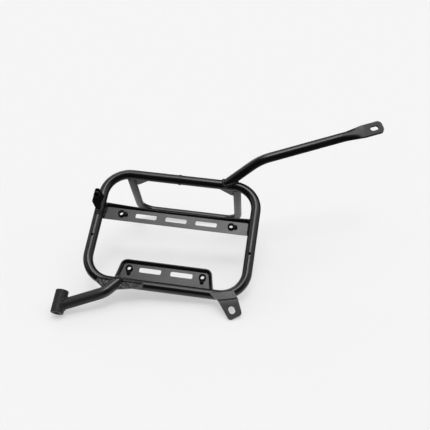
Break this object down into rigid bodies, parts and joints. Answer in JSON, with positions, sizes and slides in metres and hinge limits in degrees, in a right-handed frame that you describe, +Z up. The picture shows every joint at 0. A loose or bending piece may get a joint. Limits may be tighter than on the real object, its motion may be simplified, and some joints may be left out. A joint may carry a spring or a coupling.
{
  "type": "pannier frame",
  "caption": "Side pannier frame for a motorbike: bent tube loop with slotted sheet bars, keyhole grommets, a hoop behind the top tube, a flattened upper arm and a bored lower arm.",
  "frame": {"origin": "Midway between the upper pair of pannier bolt holes, on the face the pannier rests against.", "axes": "+X along the bike towards the flattened upper arm, +Y out from the bike towards the pannier, +Z up."},
  "size_m": [0.4897, 0.1867, 0.3935],
  "materials": {
    "tube_coat": "satin black powder coat on steel tube",
    "sheet_coat": "satin black powder coat on folded sheet steel",
    "bracket_coat": "satin black powder coat on plate and turned steel",
    "weld_coat": "satin black powder coat over a weld bead",
    "grommet_rubber": "matt black rubber"
  },
  "bodies": {
    "root": {"main_loop": "tube_coat", "loop_seam_weld": "weld_coat", "rear_hoop": "tube_coat", "hoop_gusset_left": "bracket_coat", "hoop_gusset_right": "bracket_coat", "mid_bar": "sheet_coat", "lower_plate": "sheet_coat", "grommet_upper_left": "grommet_rubber", "grommet_upper_right": "grommet_rubber", "grommet_lower_left": "grommet_rubber", "grommet_lower_right": "grommet_rubber", "upper_arm": "tube_coat", "lower_arm": "tube_coat", "arm_boss": "bracket_coat", "arm_gusset_left": "bracket_coat", "arm_gusset_right": "bracket_coat", "lower_tab": "bracket_coat", "nut_lug": "bracket_coat", "lug_nut": "bracket_coat"}
  },
  "joints": []
}
